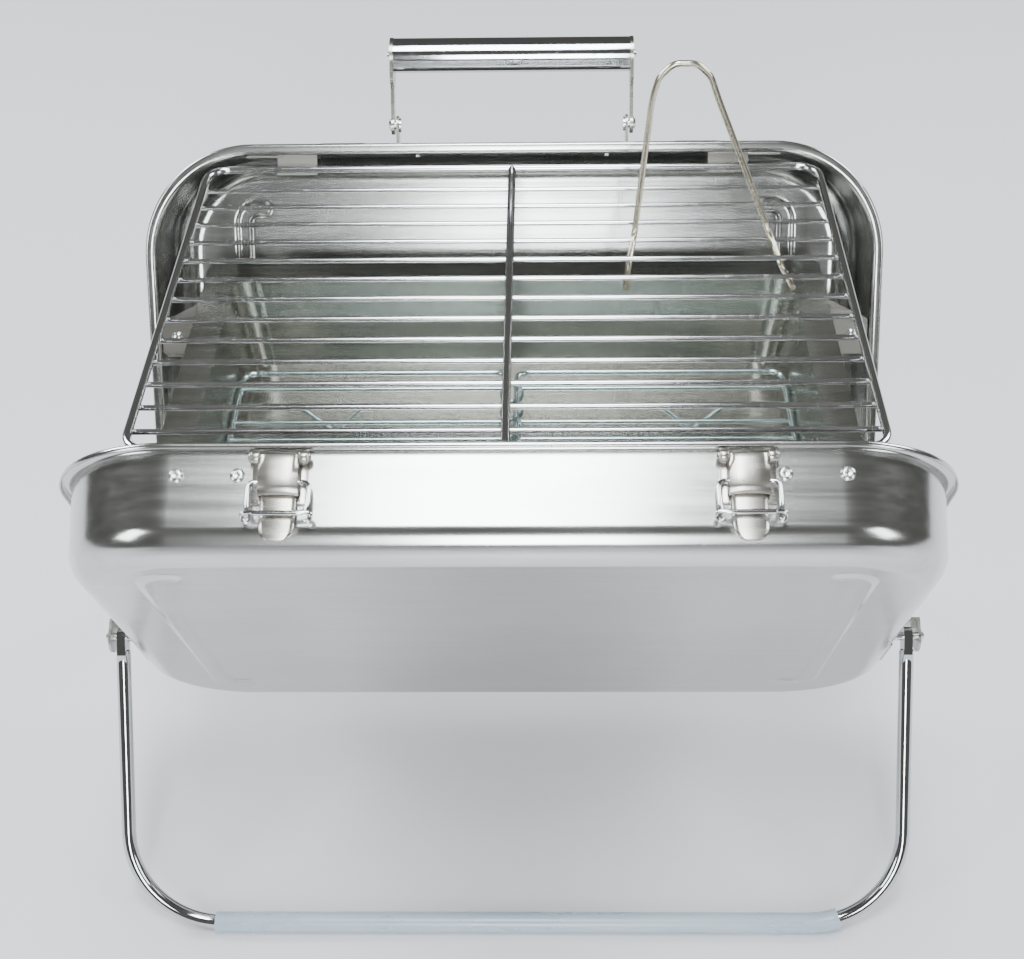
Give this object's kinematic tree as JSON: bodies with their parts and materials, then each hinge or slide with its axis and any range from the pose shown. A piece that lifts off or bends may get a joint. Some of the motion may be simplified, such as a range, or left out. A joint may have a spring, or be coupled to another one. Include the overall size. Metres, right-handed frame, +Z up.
{
  "type": "folding camp grill",
  "caption": "Suitcase charcoal grill: hinged sheet-steel pans open into a V on folding U legs, with an inner tray, folding grate, wire rack, draw latches and a swinging handle.",
  "frame": {"origin": "on the floor, directly under the middle of the hinge line", "axes": "+X along the hinge, to the right seen from the latch pan; -Y towards the latch pan; +Z up"},
  "size_m": [0.4806, 0.373, 0.4476],
  "materials": {
    "satin_pan": "satin stainless sheet",
    "tray_steel": "satin sheet",
    "plated_steel": "bright plated pressings",
    "chrome_tube": "polished chrome",
    "chromed_wire": "chromed wire",
    "zinc_wire": "bluish zinc-plated wire",
    "dull_wire": "dull plated wire with a warm tint",
    "rivet_aluminium": "bright fasteners",
    "sleeve_plastic": "pale translucent sleeve"
  },
  "bodies": {
    "front_case": {"front_shell": "satin_pan", "front_hinge_leaves": "plated_steel", "hinge_pins": "rivet_aluminium", "latch_base_left": "plated_steel", "latch_base_right": "plated_steel", "latch_pins": "rivet_aluminium", "front_wall_rivets": "rivet_aluminium", "rack_clip_front_left": "plated_steel", "rack_clip_front_right": "plated_steel", "leg_bracket_front_left": "plated_steel", "leg_bracket_front_right": "plated_steel", "leg_bolts_front": "rivet_aluminium", "leg_bracket_rivets_front": "rivet_aluminium", "tray_support_front_left": "plated_steel", "tray_support_front_right": "plated_steel", "tray_support_bolts_front": "rivet_aluminium"},
    "rear_case": {"rear_shell": "satin_pan", "rear_hinge_leaves": "plated_steel", "catch_plate_left": "plated_steel", "catch_plate_right": "plated_steel", "rear_wall_rivets": "rivet_aluminium", "rack_clip_rear_left": "plated_steel", "rack_clip_rear_right": "plated_steel", "handle_bracket_left": "plated_steel", "handle_bracket_right": "plated_steel", "handle_bracket_rivets": "rivet_aluminium", "handle_pivots": "rivet_aluminium", "leg_bracket_rear_left": "plated_steel", "leg_bracket_rear_right": "plated_steel", "leg_bolts_rear": "rivet_aluminium", "leg_bracket_rivets_rear": "rivet_aluminium", "tray_support_rear_left": "plated_steel", "tray_support_rear_right": "plated_steel", "tray_support_bolts_rear": "rivet_aluminium"},
    "handle": {"handle_tube": "chrome_tube", "handle_arm_left": "plated_steel", "handle_arm_right": "plated_steel", "handle_screws": "rivet_aluminium"},
    "leg_front": {"leg_front_tube": "chrome_tube", "foot_sleeve_front": "sleeve_plastic"},
    "leg_rear": {"leg_rear_tube": "chrome_tube", "foot_sleeve_rear": "sleeve_plastic"},
    "latch_lever_left": {"latch_lever_left": "plated_steel"},
    "latch_lever_right": {"latch_lever_right": "plated_steel"},
    "latch_bail_left": {"latch_bail_left": "chromed_wire"},
    "latch_bail_right": {"latch_bail_right": "chromed_wire"},
    "tray": {"charcoal_tray": "tray_steel"},
    "grate_right": {"grate_right_frame": "zinc_wire", "grate_right_rods": "zinc_wire", "grate_right_feet": "zinc_wire", "grate_ring_clips": "zinc_wire"},
    "grate_left": {"grate_left_frame": "zinc_wire", "grate_left_rods": "zinc_wire", "grate_left_feet": "zinc_wire"},
    "rack": {"rack_frame": "chromed_wire", "rack_centre_bar": "chromed_wire", "rack_cross_rods": "chromed_wire"},
    "lifter": {"rack_lifter": "dull_wire"}
  },
  "joints": [
    {"name": "case_fold", "type": "hinge", "parent": "front_case", "child": "rear_case", "pos_m": [0, 0, 0.09954], "axis": [1, 0, 0], "range_deg": [0, 56.6]},
    {"name": "front_leg_fold", "type": "hinge", "parent": "front_case", "child": "leg_front", "pos_m": [0, -0.06414, 0.14905], "axis": [-1, 0, 0], "range_deg": [0, 107]},
    {"name": "rear_leg_fold", "type": "hinge", "parent": "rear_case", "child": "leg_rear", "pos_m": [0, 0.06414, 0.14905], "axis": [1, 0, 0], "range_deg": [0, 107]},
    {"name": "handle_swing", "type": "hinge", "parent": "rear_case", "child": "handle", "pos_m": [0, 0.15744, 0.3646], "axis": [1, 0, 0], "range_deg": [-88, 80]},
    {"name": "latch_left_lever_swing", "type": "hinge", "parent": "front_case", "child": "latch_lever_left", "pos_m": [-0.1046, -0.14791, 0.35671], "axis": [-1, 0, 0], "range_deg": [0, 95]},
    {"name": "latch_left_bail_swing", "type": "hinge", "parent": "latch_lever_left", "child": "latch_bail_left", "pos_m": [-0.1046, -0.15715, 0.34882], "axis": [-1, 0, 0], "range_deg": [0, 90]},
    {"name": "latch_right_lever_swing", "type": "hinge", "parent": "front_case", "child": "latch_lever_right", "pos_m": [0.1134, -0.14791, 0.35671], "axis": [-1, 0, 0], "range_deg": [0, 95]},
    {"name": "latch_right_bail_swing", "type": "hinge", "parent": "latch_lever_right", "child": "latch_bail_right", "pos_m": [0.1134, -0.15715, 0.34882], "axis": [-1, 0, 0], "range_deg": [0, 90]},
    {"name": "tray_lift", "type": "slide", "parent": "front_case", "child": "tray", "axis": [0, 0, 1], "range_m": [0, 0.862]},
    {"name": "rack_lift", "type": "slide", "parent": "tray", "child": "rack", "axis": [0, 0, 1], "range_m": [0, 0.4]},
    {"name": "grate_lift", "type": "slide", "parent": "tray", "child": "grate_right", "axis": [0, 0, 1], "range_m": [0, 0.14]},
    {"name": "grate_half_fold", "type": "hinge", "parent": "grate_right", "child": "grate_left", "pos_m": [0, 0, 0.26174], "axis": [0, 1, 0], "range_deg": [0, 180]},
    {"name": "lifter_tilt", "type": "hinge", "parent": "rack", "child": "lifter", "pos_m": [0.108, 0.057, 0.34509], "axis": [1, 0, 0], "range_deg": [0, 12]}
  ],
  "couplings": [
    {"joint": "tray_lift", "follows": "case_fold", "m_per_rad": 0.87},
    {"joint": "grate_lift", "follows": "rack_lift", "ratio": 0.35},
    {"joint": "grate_half_fold", "follows": "rack_lift", "rad_per_m": 7.844}
  ]
}
